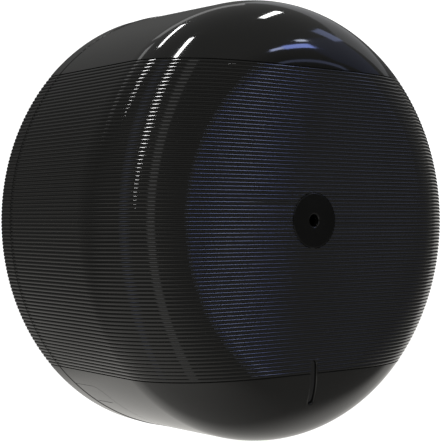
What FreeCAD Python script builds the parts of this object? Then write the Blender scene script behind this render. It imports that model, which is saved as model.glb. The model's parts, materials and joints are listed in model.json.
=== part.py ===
import FreeCAD, Part
import math
import os
from FreeCAD import Vector

# Round wall-mounted dispenser for centre-feed toilet paper.
# Frame: the origin is the centre of the wall face, +Y goes into the wall, the front faces -Y,
# +X is to the right seen from the front and +Z is up. "Depth" is the distance from the wall.

# Drum
REAR_RADIUS = 157.0          # outer radius at the wall
BODY_DEPTH = 149.0           # wall face to front disc
DRAFT = 1.75                 # degrees, the side narrows towards the front
EDGE_RADIUS = 50.5           # soft edge between side and front disc
WALL = 3.0                   # thickness of the moulded shells
SEAM = 0.4                   # visible gap between cover and fixed pieces

# Roll that the drum is made for
ROLL_ROOM = 57.0             # roll to the drum's outer radius
ROLL_RADIUS = REAR_RADIUS - ROLL_ROOM
ROLL_CLEARANCE = 4.0         # roll to its cradle

# Back plate
PLATE = 4.0                  # thickness of the wall plate
RIM_DEPTH = 13.0             # height of its rim above the wall
LIP_HEIGHT = 7.0             # locating lip in front of the rim
LIP_WALL = 2.0
LIP_CLEARANCE = 0.6          # lip to cover
LIP_FROM = 20.0              # degrees from the top
LIP_TO = 75.0
WALL_HOLE_RADIUS = 2.75
WALL_HOLE_SPACING_X = 1.5 * ROLL_RADIUS       # the holes lie behind the roll
WALL_HOLE_SPACING_Z = 0.9 * ROLL_RADIUS
WALL_BOSS_RADIUS = 8.0
WALL_BOSS_HEIGHT = 2.0
RIB_HEIGHT = 2.5
RIB_WIDTH = 2.0
RIB_RING_INNER = 0.59 * ROLL_RADIUS           # mid radius of the inner stiffening ring
RIB_RING_INSET = 24.0        # drum's outer radius to the outer ring, which is open at the bottom
RIB_RING_OUTER = REAR_RADIUS - RIB_RING_INSET
SPOKE_ANGLES = (-90.0, -45.0, 45.0, 90.0)     # degrees from the top

# Notch in the cover and the skirt that fills it
NOTCH_HALF_ANGLE = 42.5      # degrees either side of the bottom
NOTCH_DEPTH = 42.5           # wall face to front edge of the skirt
NOTCH_CORNER = 8.0
SKIRT_SLEEVE_WALL = 2.5      # inner sleeve that reaches into the rim
SKIRT_SLEEVE_DEPTH = 24.0
SKIRT_SLEEVE_CLEARANCE = 0.3
SKIRT_FLANGE = 3.0
SKIRT_FLANGE_WIDTH = 23.0
SKIRT_FLANGE_HALF_ANGLE = 36.0
SKIRT_SCREW_INSET = 11.5     # flange edge to screw circle
SKIRT_SCREW_ANGLES = (-31.0, -16.0, 16.0, 31.0)
FINGER_ANGLE = 34.5          # slit beside each snap finger
FINGER_SLIT = 0.8
FINGER_START = 16.5
FINGER_END = 35.0

# Hinge at the bottom
BARREL_RADIUS = 6.0
BARREL_INSET = 1.0           # barrel inside the drum's surface
BARREL_CLEARANCE = 0.4       # barrel to the shell edge that it turns in
KNUCKLE_SPLIT = 13.75        # half the length of the fixed middle knuckle
KNUCKLE_GAP = 0.4
BARREL_HALF = 30.0
PIN_RADIUS = 2.0
PIN_RUNNING_FIT = 0.05
PIN_PRESS_FIT = 0.02
PIN_OVERHANG = 2.6           # pin beyond the barrel, for its clip
CLIP_THICKNESS = 0.8
CLIP_WIDTH = 1.8
CLIP_GAP = 0.3               # clip to the knuckle's end
HINGE_POCKET_HALF = 34.0     # cover cut away beside the barrel
SKIRT_RECESS_HALF = 50.0     # front of the skirt cut back for the swinging cover
SKIRT_RECESS = 10.5          # its edge is the stop of the open cover
ARM_RISE = 0.8               # underside of the fixed arm above the hinge axis
BRACKET_THICKNESS = 3.0
BRACKET_LENGTH = 32.0
BRACKET_WEB = 12.0           # length of the web in front of each moving knuckle
BRACKET_WEB_RISE = 4.0       # top of the web above the hinge axis
BRACKET_SCREW_X = 22.0
BRACKET_SCREW_INSET = 12.0   # screw to the front edge of the bracket

# Cradle
CRADLE_WALL = 2.5
CRADLE_DEPTH = 118.0         # wall face to front edge
CRADLE_HALF_ANGLE = 62.0
CRADLE_FLANGE_WIDTH = 20.0
CRADLE_LIP = 2.0
CRADLE_SCREW_INSET = 11.0    # shelf to screw circle
CRADLE_SCREW_ANGLES = (-35.0, -5.0, 5.0, 35.0)
GUSSET_ANGLES = (-50.0, -20.0, 20.0, 50.0)
GUSSET_WIDTH = 2.5
GUSSET_LENGTH = 56.0
GUSSET_TOE = 4.0

# Lock at the top
LOCK_DEPTH = 30.0            # wall face to lock axis
LOCK_TUBE_RADIUS = 10.0
LOCK_TUBE_CLEARANCE = 0.3
LOCK_TUBE_DROP = 26.0        # drum surface to lower end of the tube
LOCK_BLOCK_HALF = 22.0
LOCK_BLOCK_LENGTH = 26.0
LOCK_BLOCK_DROP = 13.0
LOCK_SCREW_X = 16.0
BARREL_LOCK_RADIUS = 7.45
LOCK_RUNNING_FIT = 0.05
LOCK_RECESS = 0.5            # key face below the drum surface
KEY_SLOT_WIDTH = 2.2
KEY_SLOT_LENGTH = 10.0
KEY_SLOT_DEPTH = 9.0
LOCK_COLLAR_RADIUS = 9.2
LOCK_COLLAR = 2.5
LOCK_END_PLAY = 0.2
WAVE_WASHER = 1.0            # spring washer between tube and collar
WAVE_WASHER_RADIUS = 9.0
CAM_SQUARE = 8.0
CAM_SQUARE_FIT = 0.05
CAM_THICKNESS = 3.0
CAM_RADIUS = 9.0
CAM_WIDTH = 10.0
CAM_REACH = 24.0             # lock axis to tip of the cam
CAM_WASHER_RADIUS = 6.0
CAM_WASHER = 1.2
CAM_SCREW_GRIP = 8.0
STRIKE_SHEET = 2.5
STRIKE_GAP = 0.5             # locked cam to hook
STRIKE_UNDER = 1.5           # leg of the strike below the cam
STRIKE_SIDE = 3.8            # hook to the lock collar
STRIKE_WIDTH = 12.0
STRIKE_HOOK_OVER = 1.0       # hook above the cam
STRIKE_FOOT_WIDTH = 22.0
STRIKE_FOOT_HEIGHT = 22.0
STRIKE_SCREW_SPREAD = 12.0
STRIKE_SCREW_DROP = 14.0     # top of the leg to the screws

# Nozzle
NOZZLE_RADIUS = 18.4
NOZZLE_CLEARANCE = 0.4
NOZZLE_PROUD = 0.2           # disc in front of the drum face
NOZZLE_TUBE_RADIUS = 13.9
NOZZLE_RUNNING_FIT = 0.08
NOZZLE_TUBE_END = 15.0       # drum face to rear end of the tube
NOZZLE_EDGE = 0.6            # bevel round the disc
NOZZLE_MOUTH_RADIUS = 5.2
NOZZLE_MOUTH_DEPTH = 1.0
NOZZLE_HOLE_RADIUS = 4.0
NOZZLE_HOLE_LENGTH = 3.0
NOZZLE_ENTRY_RADIUS = 12.0
SEAL_THICKNESS = 1.2
SEAL_GAP = 0.05
SEAL_EDGE = 0.3              # seal inside the edges that it lies between
COLLAR_RADIUS = 34.0
COLLAR_THICKNESS = 5.0
COLLAR_SCREW_RADIUS = 28.0
COLLAR_SCREWS = 3
NOZZLE_TURN = 60.0           # degrees from held to free
LUGS = 3
LUG_REACH = 3.6              # bayonet lug beyond the tube
LUG_THICKNESS = 3.0
LUG_HALF_ANGLE = 12.0
LUG_GAP = 0.3                # lug to the collar
SLOT_HALF_ANGLE = 15.0       # way through the collar for each lug
STOP_HALF_ANGLE = 13.0       # stop between two lugs

# Level window
WINDOW_RISE = 33.7           # lower end of the slot above the bottom of the drum
WINDOW_LENGTH = 29.1
WINDOW_HALF_WIDTH = 2.2
WINDOW_EDGE = 1.7            # rounded edge round the slot
WINDOW_CLEARANCE = 0.2
WINDOW_RECESS = 1.8          # lens below the drum surface
WINDOW_FLANGE = 2.0
WINDOW_FLANGE_EDGE = 5.0
BOND_LINE = 0.05             # between pieces that lie on each other on a curved face

# Screws, one size throughout
SCREW_RADIUS = 1.75
SCREW_FIT = 0.05
SCREW_HEAD_RADIUS = 3.5
SCREW_HEAD = 2.4
SCREW_GRIP = 2.0             # thread in a moulded wall
SCREW_SKIN = 1.0             # wall plate left behind a thread
SCREW_CROSS = 1.0            # width of the drive recess
SCREW_CROSS_LENGTH = 4.0
SCREW_CROSS_DEPTH = 1.3
SEAT_CLEARANCE = 0.4         # counterbore round a screw head
SEAT_SINK = 0.2              # flat seat in a curved face

ORIGIN = Vector(0, 0, 0)
UP = Vector(0, 0, 1)
DOWN = Vector(0, 0, -1)
TO_WALL = Vector(0, 1, 0)
TO_FRONT = Vector(0, -1, 0)
FAR = 4 * REAR_RADIUS        # longer than anything in the part
CUT_MARGIN = 3.0             # cutting tool beyond the face that it cuts
SAME_PLACE = 1e-6            # points closer than this are one
ON_FACE = 0.001              # points closer than this to a face lie on it
EDGE_SAMPLES = 5


def at(x, depth, z):
    """Point at a given distance from the wall."""
    return Vector(x, -depth, z)


def around(angle, radius, depth):
    """Point on a circle about the drum axis, by degrees from the bottom towards +X."""
    turn = math.radians(angle)
    return at(radius * math.sin(turn), depth, -radius * math.cos(turn))


def side_radius(depth, offset=0.0):
    """Radius of the drafted side, moved inwards by an offset."""
    slope = math.radians(DRAFT)
    return REAR_RADIUS - depth * math.tan(slope) - offset / math.cos(slope)


def block(x0, x1, depth0, depth1, z0, z1):
    """Box between two values along each axis."""
    return Part.makeBox(x1 - x0, depth1 - depth0, z1 - z0, at(x0, depth1, z0))


def slab(depth0, depth1):
    """Everything between two depths."""
    return block(-FAR, FAR, depth0, depth1, -FAR, FAR)


def rod(start, direction, radius, length):
    """Round bar."""
    return Part.makeCylinder(radius, length, start, direction)


def ring(outer, inner, depth0, depth1):
    """Tube about the drum axis."""
    bar = rod(at(0, depth1, 0), TO_WALL, outer, depth1 - depth0)
    return bar.cut(rod(at(0, depth1, 0), TO_WALL, inner, depth1 - depth0))


def turned(edges):
    """Solid of revolution about the drum axis from a closed chain of edges."""
    face = Part.Face(Part.Wire(edges))
    return face.revolve(ORIGIN, TO_WALL, 360)


def turned_outline(points):
    """Solid of revolution from straight runs between (radius, depth) points."""
    corners = [at(radius, depth, 0) for radius, depth in points]
    wire = Part.makePolygon(corners + corners[:1])
    return turned(wire.Edges)


def drum(offset=0.0, rear=0.0):
    """Whole drum from a rear depth to the front, all faces moved inwards by an offset."""
    slope = math.radians(DRAFT)
    curve = EDGE_RADIUS - offset
    centre_depth = BODY_DEPTH - EDGE_RADIUS
    tangent_depth = centre_depth + EDGE_RADIUS * math.sin(slope)
    centre_radius = side_radius(tangent_depth) - EDGE_RADIUS * math.cos(slope)

    def on_curve(angle):
        return at(centre_radius + curve * math.cos(angle), centre_depth + curve * math.sin(angle), 0)

    middle = (slope + math.pi / 2) / 2
    rear_axis = at(0, rear, 0)
    rear_edge = at(side_radius(rear, offset), rear, 0)
    front_axis = at(0, BODY_DEPTH - offset, 0)
    return turned([
        Part.LineSegment(rear_axis, rear_edge).toShape(),
        Part.LineSegment(rear_edge, on_curve(slope)).toShape(),
        Part.Arc(on_curve(slope), on_curve(middle), on_curve(math.pi / 2)).toShape(),
        Part.LineSegment(on_curve(math.pi / 2), front_axis).toShape(),
        Part.LineSegment(front_axis, rear_axis).toShape(),
    ])


def shell(outer, inner, rear, front=BODY_DEPTH):
    """Skin of the drum between two offsets and two depths."""
    skin = drum(outer, rear).cut(drum(inner, rear - CUT_MARGIN))
    if front < BODY_DEPTH:
        skin = skin.common(slab(rear - CUT_MARGIN, front))
    return skin


def wedge(half_angle, depth0, depth1, gap=0.0, corner=0.0):
    """Sector about the bottom, its sides moved inwards by a gap, its front corners rounded."""
    turn = math.radians(half_angle)
    apex = -gap / math.sin(turn)
    corners = [
        at(0, depth0, apex),
        at(FAR * math.sin(turn), depth0, apex - FAR * math.cos(turn)),
        at(-FAR * math.sin(turn), depth0, apex - FAR * math.cos(turn)),
    ]
    face = Part.Face(Part.makePolygon(corners + corners[:1]))
    solid = face.extrude(Vector(0, depth0 - depth1, 0))
    if corner > 0:
        front = [edge for edge in solid.Edges if is_front_side_edge(edge, depth1, apex)]
        solid = solid.makeFillet(corner, front)
    return solid


def is_front_side_edge(edge, depth, apex):
    """True for the two slanted edges at the front of a wedge."""
    ends = [vertex.Point for vertex in edge.Vertexes]
    in_front = all(abs(point.y + depth) < SAME_PLACE for point in ends)
    from_apex = any(abs(point.z - apex) < SAME_PLACE for point in ends)
    return in_front and from_apex


def sector(angle_from, angle_to, depth0, depth1):
    """Sector between two angles from the top, clockwise seen from the front, under 180 degrees."""
    corners = [at(0, depth0, 0)]
    for angle in (angle_from, (angle_from + angle_to) / 2, angle_to):
        corners.append(around(180 - angle, FAR, depth0))
    face = Part.Face(Part.makePolygon(corners + corners[:1]))
    return face.extrude(Vector(0, depth0 - depth1, 0))


def placed(shape, position, direction):
    """Copy of a shape built along +Z, set at a position and turned to a direction."""
    moved = shape.copy()
    moved.Placement = FreeCAD.Placement(position, FreeCAD.Rotation(UP, direction))
    return moved


class Screw:
    """Pan-head screw whose head stands on its seat; the thread runs against the direction."""

    def __init__(self, seat, direction, length):
        self.seat = seat
        self.direction = Vector(direction).normalize()
        self.length = length

    def solid(self):
        shape = rod(ORIGIN, UP, SCREW_HEAD_RADIUS, SCREW_HEAD)
        shape = shape.fuse(rod(DOWN * self.length, UP, SCREW_RADIUS, self.length))
        base = SCREW_HEAD - SCREW_CROSS_DEPTH
        for wide, long in ((SCREW_CROSS, SCREW_CROSS_LENGTH), (SCREW_CROSS_LENGTH, SCREW_CROSS)):
            corner = Vector(-wide / 2, -long / 2, base)
            shape = shape.cut(Part.makeBox(wide, long, SCREW_CROSS_DEPTH, corner))
        return placed(shape.removeSplitter(), self.seat, self.direction)

    def hole(self):
        """Room for the thread."""
        start = self.seat - self.direction * self.length
        return rod(start, self.direction, SCREW_RADIUS + SCREW_FIT, self.length)

    def counterbore(self):
        """Flat seat and room for the head."""
        return rod(self.seat, self.direction, SCREW_HEAD_RADIUS + SEAT_CLEARANCE, SCREW_HEAD + CUT_MARGIN)


def drilled(shape, screws):
    """Shape with the holes and seats of some screws."""
    for screw in screws:
        shape = shape.cut(screw.hole()).cut(screw.counterbore())
    return shape


def group(screws):
    """Set of like screws in one node."""
    return Part.makeCompound([screw.solid() for screw in screws])


# Places that several pieces share
COVER_REAR = RIM_DEPTH + SEAM
WINDOW_BOTTOM = WINDOW_RISE - REAR_RADIUS
WINDOW_TOP = WINDOW_BOTTOM + WINDOW_LENGTH
NOTCH_EDGE = NOTCH_DEPTH + SEAM
HINGE_DEPTH = NOTCH_EDGE
HINGE_Z = BARREL_RADIUS + BARREL_INSET - side_radius(HINGE_DEPTH)
PIN_HALF = BARREL_HALF + PIN_OVERHANG
SKIRT_FLANGE_OUTER = side_radius(PLATE + SKIRT_FLANGE, WALL + SKIRT_SLEEVE_CLEARANCE)
SKIRT_FLANGE_INNER = SKIRT_FLANGE_OUTER - SKIRT_FLANGE_WIDTH
BRACKET_FRONT = HINGE_DEPTH + BARREL_RADIUS + BARREL_CLEARANCE + BRACKET_LENGTH
CRADLE_INNER = ROLL_RADIUS + ROLL_CLEARANCE
CRADLE_OUTER = CRADLE_INNER + CRADLE_WALL
CRADLE_FLANGE_OUTER = CRADLE_INNER + CRADLE_FLANGE_WIDTH
LOCK_TOP = side_radius(LOCK_DEPTH)
LOCK_TUBE_END = LOCK_TOP - LOCK_TUBE_DROP
LOCK_COLLAR_TOP = LOCK_TUBE_END - LOCK_END_PLAY - WAVE_WASHER
CAM_TOP = LOCK_COLLAR_TOP - LOCK_COLLAR
CAM_UNDER = CAM_TOP - CAM_THICKNESS
CAM_SCREW_SEAT = CAM_UNDER - CAM_WASHER
STRIKE_LEG_TOP = CAM_UNDER - STRIKE_UNDER
STRIKE_X = LOCK_COLLAR_RADIUS + STRIKE_SIDE
STRIKE_HOOK_DEPTH = LOCK_DEPTH + CAM_WIDTH / 2 + STRIKE_GAP
FRONT_INSIDE = BODY_DEPTH - WALL
COLLAR_REAR = FRONT_INSIDE - COLLAR_THICKNESS
NOZZLE_FACE = BODY_DEPTH + NOZZLE_PROUD
NOZZLE_SEAT = FRONT_INSIDE + SEAL_GAP + SEAL_THICKNESS
NOZZLE_TUBE_REAR = BODY_DEPTH - NOZZLE_TUBE_END
LUG_FRONT = COLLAR_REAR - LUG_GAP

# Screws by the joint that they hold
SKIRT_SCREWS = [
    Screw(
        around(angle, SKIRT_FLANGE_INNER + SKIRT_SCREW_INSET, PLATE + SKIRT_FLANGE),
        TO_FRONT,
        SKIRT_FLANGE + PLATE - SCREW_SKIN,
    )
    for angle in SKIRT_SCREW_ANGLES
]
CRADLE_SCREWS = [
    Screw(
        around(angle, CRADLE_INNER + CRADLE_SCREW_INSET, PLATE + CRADLE_WALL),
        TO_FRONT,
        CRADLE_WALL + PLATE - SCREW_SKIN,
    )
    for angle in CRADLE_SCREW_ANGLES
]
STRIKE_SCREWS = [
    Screw(
        at(STRIKE_X + STRIKE_WIDTH / 2 + side * STRIKE_SCREW_SPREAD / 2,
           PLATE + STRIKE_SHEET, STRIKE_LEG_TOP - STRIKE_SCREW_DROP),
        TO_FRONT,
        STRIKE_SHEET + PLATE - SCREW_SKIN,
    )
    for side in (-1, 1)
]
COLLAR_FIXINGS = [
    Screw(
        around(180 + 360 * index / COLLAR_SCREWS, COLLAR_SCREW_RADIUS, COLLAR_REAR),
        TO_WALL,
        COLLAR_THICKNESS + SCREW_GRIP,
    )
    for index in range(COLLAR_SCREWS)
]


def bracket_screw(side):
    """Screw through the cover's hinge bracket, square to the drum's side."""
    depth = BRACKET_FRONT - BRACKET_SCREW_INSET
    radius = side_radius(depth, WALL + BOND_LINE + BRACKET_THICKNESS) + SEAT_SINK
    angle = math.degrees(math.asin(side * BRACKET_SCREW_X / radius))
    seat = around(angle, radius, depth)
    return Screw(seat, Vector(-seat.x, 0, -seat.z), BRACKET_THICKNESS + SCREW_GRIP)


def housing_screw(side):
    """Upright screw through the lock housing into the top of the cover."""
    seat = LOCK_TOP - LOCK_BLOCK_DROP
    inside = math.sqrt(side_radius(LOCK_DEPTH, WALL) ** 2 - LOCK_SCREW_X ** 2)
    return Screw(at(side * LOCK_SCREW_X, LOCK_DEPTH, seat), DOWN, inside - seat + SCREW_GRIP)


BRACKET_SCREWS = [bracket_screw(side) for side in (-1, 1)]
HOUSING_SCREWS = [housing_screw(side) for side in (-1, 1)]
CAM_SCREW = Screw(
    at(0, LOCK_DEPTH, CAM_SCREW_SEAT), DOWN, CAM_WASHER + CAM_THICKNESS + LOCK_COLLAR + CAM_SCREW_GRIP
)


def hinge_bar(radius, x0, x1):
    """Round bar on the hinge axis."""
    return rod(at(x0, HINGE_DEPTH, HINGE_Z), Vector(1, 0, 0), radius, x1 - x0)


def lock_bar(radius, z0, z1):
    """Round bar on the lock axis."""
    return rod(at(0, LOCK_DEPTH, z0), UP, radius, z1 - z0)


def window_prism(edge):
    """Upright capsule through the front, wider than the slot by an edge on all sides."""
    half = WINDOW_HALF_WIDTH + edge
    high = WINDOW_TOP - WINDOW_HALF_WIDTH
    low = WINDOW_BOTTOM + WINDOW_HALF_WIDTH
    rear = BODY_DEPTH - EDGE_RADIUS
    front = BODY_DEPTH + CUT_MARGIN
    prism = block(-half, half, rear, front, low, high)
    for z in (low, high):
        prism = prism.fuse(rod(at(0, front, z), TO_WALL, half, front - rear))
    return prism.removeSplitter()


def lies_on(edge, shape):
    """True for an edge that runs on the faces of a shape."""
    skin = Part.Shell(shape.Faces)
    points = [Part.Vertex(point) for point in edge.discretize(EDGE_SAMPLES)]
    return all(point.distToShape(skin)[0] < ON_FACE for point in points)


def slotted(body):
    """Drum shell with the slot of the level window, its outer edge rounded."""
    slot = window_prism(0)
    outside = drum()
    body = body.cut(slot)
    rim = [edge for edge in body.Edges if lies_on(edge, slot) and lies_on(edge, outside)]
    return body.makeFillet(WINDOW_EDGE, rim)


def front_cover():
    """Drum shell, open at the rear, notched at the bottom for the skirt."""
    body = slotted(shell(0, WALL, COVER_REAR))
    body = body.cut(wedge(NOTCH_HALF_ANGLE, 0, NOTCH_EDGE, corner=NOTCH_CORNER + SEAM))
    body = body.cut(hinge_bar(BARREL_RADIUS + BARREL_CLEARANCE, -HINGE_POCKET_HALF, HINGE_POCKET_HALF))
    body = body.cut(lock_bar(LOCK_TUBE_RADIUS + LOCK_TUBE_CLEARANCE, LOCK_TUBE_END, LOCK_TOP + CUT_MARGIN))
    nozzle_way = rod(
        at(0, BODY_DEPTH + CUT_MARGIN, 0), TO_WALL, NOZZLE_RADIUS + NOZZLE_CLEARANCE, WALL + 2 * CUT_MARGIN
    )
    body = body.cut(nozzle_way)
    for screw in BRACKET_SCREWS + HOUSING_SCREWS + COLLAR_FIXINGS:
        body = body.cut(screw.hole())
    return body


def wall_hole_places():
    """Centres of the four wall screw holes on the wall face."""
    half_x = WALL_HOLE_SPACING_X / 2
    half_z = WALL_HOLE_SPACING_Z / 2
    return [at(x, 0, z) for x in (-half_x, half_x) for z in (-half_z, half_z)]


def stiffeners():
    """Low rings and spokes on the wall plate."""
    half = RIB_WIDTH / 2
    top = PLATE + RIB_HEIGHT
    ribs = ring(RIB_RING_OUTER + half, RIB_RING_OUTER - half, PLATE, top)
    ribs = ribs.cut(wedge(CRADLE_HALF_ANGLE, 0, top + CUT_MARGIN))
    ribs = ribs.fuse(ring(RIB_RING_INNER + half, RIB_RING_INNER - half, PLATE, top))
    for angle in SPOKE_ANGLES:
        spoke = block(-half, half, PLATE, top, RIB_RING_INNER, RIB_RING_OUTER)
        spoke.rotate(ORIGIN, TO_WALL, angle)
        ribs = ribs.fuse(spoke)
    return ribs


def locating_lip():
    """Two arcs in front of the rim that centre the closed cover."""
    outer = WALL + LIP_CLEARANCE
    front = RIM_DEPTH + LIP_HEIGHT
    lip = shell(outer, outer + LIP_WALL, PLATE, front)
    right = lip.common(sector(LIP_FROM, LIP_TO, 0, front))
    left = lip.common(sector(-LIP_TO, -LIP_FROM, 0, front))
    return right.fuse(left)


def back_plate():
    """Wall plate with its straight rim, lip, stiffeners and wall screw bosses."""
    plate = rod(at(0, RIM_DEPTH, 0), TO_WALL, REAR_RADIUS, RIM_DEPTH).cut(drum(WALL, PLATE))
    plate = plate.fuse(locating_lip()).fuse(stiffeners())
    for place in wall_hole_places():
        plate = plate.fuse(rod(place, TO_FRONT, WALL_BOSS_RADIUS, PLATE + WALL_BOSS_HEIGHT))
    for place in wall_hole_places():
        plate = plate.cut(rod(place, TO_FRONT, WALL_HOLE_RADIUS, PLATE + WALL_BOSS_HEIGHT))
    for screw in SKIRT_SCREWS + CRADLE_SCREWS + STRIKE_SCREWS:
        plate = plate.cut(screw.hole())
    return plate.removeSplitter()


def hinge_skirt():
    """Fixed panel in the notch, with the middle knuckle of the hinge on an arm."""
    inner = WALL + SKIRT_SLEEVE_CLEARANCE
    panel = shell(0, inner, COVER_REAR, NOTCH_DEPTH)
    panel = panel.common(wedge(NOTCH_HALF_ANGLE, 0, NOTCH_DEPTH, gap=SEAM, corner=NOTCH_CORNER))
    recess_edge = NOTCH_DEPTH - SKIRT_RECESS
    recess = block(-SKIRT_RECESS_HALF, SKIRT_RECESS_HALF, recess_edge, NOTCH_DEPTH + CUT_MARGIN, -FAR, 0)
    panel = panel.cut(recess)
    root = wedge(SKIRT_FLANGE_HALF_ANGLE, 0, NOTCH_DEPTH)
    sleeve = shell(inner, inner + SKIRT_SLEEVE_WALL, PLATE, SKIRT_SLEEVE_DEPTH)
    flange = ring(SKIRT_FLANGE_OUTER, SKIRT_FLANGE_INNER, PLATE, PLATE + SKIRT_FLANGE)
    skirt = panel.fuse(sleeve.common(root)).fuse(flange.common(root))
    arm_top = HINGE_Z + BARREL_RADIUS
    foot = block(-KNUCKLE_SPLIT, KNUCKLE_SPLIT, PLATE, recess_edge, -REAR_RADIUS, arm_top)
    arm = block(-KNUCKLE_SPLIT, KNUCKLE_SPLIT, PLATE, HINGE_DEPTH, HINGE_Z + ARM_RISE, arm_top)
    knuckle = hinge_bar(BARREL_RADIUS, -KNUCKLE_SPLIT, KNUCKLE_SPLIT)
    skirt = skirt.fuse(foot.common(drum(inner))).fuse(arm).fuse(knuckle)
    skirt = skirt.cut(hinge_bar(PIN_RADIUS + PIN_PRESS_FIT, -BARREL_HALF, BARREL_HALF))
    for side in (-1, 1):
        slit = block(-FINGER_SLIT / 2, FINGER_SLIT / 2, FINGER_START, FINGER_END,
                     -REAR_RADIUS, SKIRT_FLANGE_WIDTH - REAR_RADIUS)
        slit.rotate(ORIGIN, TO_WALL, side * FINGER_ANGLE)
        skirt = skirt.cut(slit)
    return drilled(skirt.removeSplitter(), SKIRT_SCREWS)


def hinge_pin():
    """Steel pin, fast in the skirt's knuckle."""
    return hinge_bar(PIN_RADIUS, -PIN_HALF, PIN_HALF)


def hinge_pin_clips():
    """Ring at each end of the pin."""
    start = BARREL_HALF + CLIP_GAP
    rings = []
    for x0 in (start, -start - CLIP_THICKNESS):
        disc = hinge_bar(PIN_RADIUS + CLIP_WIDTH, x0, x0 + CLIP_THICKNESS)
        rings.append(disc.cut(hinge_bar(PIN_RADIUS + PIN_PRESS_FIT, -PIN_HALF, PIN_HALF)))
    return Part.makeCompound(rings)


def cover_hinge_bracket():
    """Plate on the floor of the cover with the two moving knuckles."""
    outer = WALL + BOND_LINE
    rear = HINGE_DEPTH + BARREL_RADIUS + BARREL_CLEARANCE
    plate = shell(outer, outer + BRACKET_THICKNESS, rear, BRACKET_FRONT)
    bracket = plate.common(block(-BARREL_HALF, BARREL_HALF, 0, BODY_DEPTH, -FAR, 0))
    for side in (-1, 1):
        x0, x1 = sorted((side * (KNUCKLE_SPLIT + KNUCKLE_GAP), side * BARREL_HALF))
        web_top = HINGE_Z + BRACKET_WEB_RISE
        web = block(x0, x1, HINGE_DEPTH, HINGE_DEPTH + BRACKET_WEB, -REAR_RADIUS, web_top)
        knuckle = hinge_bar(BARREL_RADIUS, x0, x1)
        bracket = bracket.fuse(web.common(drum(outer))).fuse(knuckle.common(drum()))
    bracket = bracket.cut(hinge_bar(PIN_RADIUS + PIN_RUNNING_FIT, -PIN_HALF, PIN_HALF))
    return drilled(bracket.removeSplitter(), BRACKET_SCREWS)


def roll_cradle():
    """Half-round shelf for the roll on a flange with gussets."""
    shelf = ring(CRADLE_OUTER, CRADLE_INNER, PLATE, CRADLE_DEPTH)
    flange = ring(CRADLE_FLANGE_OUTER, CRADLE_INNER, PLATE, PLATE + CRADLE_WALL)
    lip = ring(CRADLE_OUTER, CRADLE_INNER - CRADLE_LIP, CRADLE_DEPTH - CRADLE_WALL, CRADLE_DEPTH)
    cradle = shelf.fuse(flange).fuse(lip)
    cradle = cradle.common(wedge(CRADLE_HALF_ANGLE, 0, BODY_DEPTH))
    for angle in GUSSET_ANGLES:
        cradle = cradle.fuse(gusset(angle))
    return drilled(cradle.removeSplitter(), CRADLE_SCREWS)


def gusset(angle):
    """Triangular web under the shelf of the cradle."""
    inner = CRADLE_INNER + CRADLE_WALL / 2
    corners = [
        at(-GUSSET_WIDTH / 2, PLATE, -inner),
        at(-GUSSET_WIDTH / 2, PLATE, -CRADLE_FLANGE_OUTER),
        at(-GUSSET_WIDTH / 2, PLATE + GUSSET_TOE, -CRADLE_FLANGE_OUTER),
        at(-GUSSET_WIDTH / 2, PLATE + GUSSET_LENGTH, -inner),
    ]
    web = Part.Face(Part.makePolygon(corners + corners[:1])).extrude(Vector(GUSSET_WIDTH, 0, 0))
    web.rotate(ORIGIN, TO_WALL, angle)
    return web.common(ring(CRADLE_FLANGE_OUTER, CRADLE_INNER, PLATE, CRADLE_DEPTH))


def lock_housing():
    """Block under the top of the cover with the tube that guides the lock barrel."""
    front = LOCK_DEPTH + LOCK_BLOCK_LENGTH / 2
    rear = LOCK_DEPTH - LOCK_BLOCK_LENGTH / 2
    seat = LOCK_TOP - LOCK_BLOCK_DROP
    housing = block(-LOCK_BLOCK_HALF, LOCK_BLOCK_HALF, rear, front, seat, LOCK_TOP)
    housing = housing.common(drum(WALL + BOND_LINE))
    tube = lock_bar(LOCK_TUBE_RADIUS, LOCK_TUBE_END, LOCK_TOP + CUT_MARGIN).common(drum())
    housing = housing.fuse(tube)
    housing = housing.cut(lock_bar(BARREL_LOCK_RADIUS + LOCK_RUNNING_FIT, CAM_UNDER, LOCK_TOP + CUT_MARGIN))
    return drilled(housing.removeSplitter(), HOUSING_SCREWS)


def lock_barrel():
    """Key barrel with its collar below the tube and a square end for the cam."""
    barrel = lock_bar(BARREL_LOCK_RADIUS, CAM_TOP, LOCK_TOP + CUT_MARGIN).common(drum(LOCK_RECESS))
    barrel = barrel.fuse(lock_bar(LOCK_COLLAR_RADIUS, CAM_TOP, LOCK_COLLAR_TOP))
    half = CAM_SQUARE / 2
    barrel = barrel.fuse(block(-half, half, LOCK_DEPTH - half, LOCK_DEPTH + half, CAM_UNDER, CAM_TOP))
    slot = block(-KEY_SLOT_WIDTH / 2, KEY_SLOT_WIDTH / 2,
                 LOCK_DEPTH - KEY_SLOT_LENGTH / 2, LOCK_DEPTH + KEY_SLOT_LENGTH / 2,
                 LOCK_TOP - KEY_SLOT_DEPTH, LOCK_TOP + CUT_MARGIN)
    return barrel.cut(slot).cut(CAM_SCREW.hole()).removeSplitter()


def lock_wave_washer():
    """Spring washer that keeps the collar off the tube."""
    washer = lock_bar(WAVE_WASHER_RADIUS, LOCK_COLLAR_TOP, LOCK_COLLAR_TOP + WAVE_WASHER)
    return washer.cut(lock_bar(BARREL_LOCK_RADIUS + LOCK_RUNNING_FIT, CAM_UNDER, LOCK_TOP))


def lock_cam():
    """Arm on the square end of the barrel, pointing at the wall while unlocked."""
    half = CAM_WIDTH / 2
    cam = lock_bar(CAM_RADIUS, CAM_UNDER, CAM_TOP)
    cam = cam.fuse(block(-half, half, LOCK_DEPTH - CAM_REACH, LOCK_DEPTH, CAM_UNDER, CAM_TOP))
    hole = CAM_SQUARE / 2 + CAM_SQUARE_FIT
    socket = block(-hole, hole, LOCK_DEPTH - hole, LOCK_DEPTH + hole, CAM_UNDER, CAM_TOP)
    return cam.cut(socket).removeSplitter()


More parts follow.
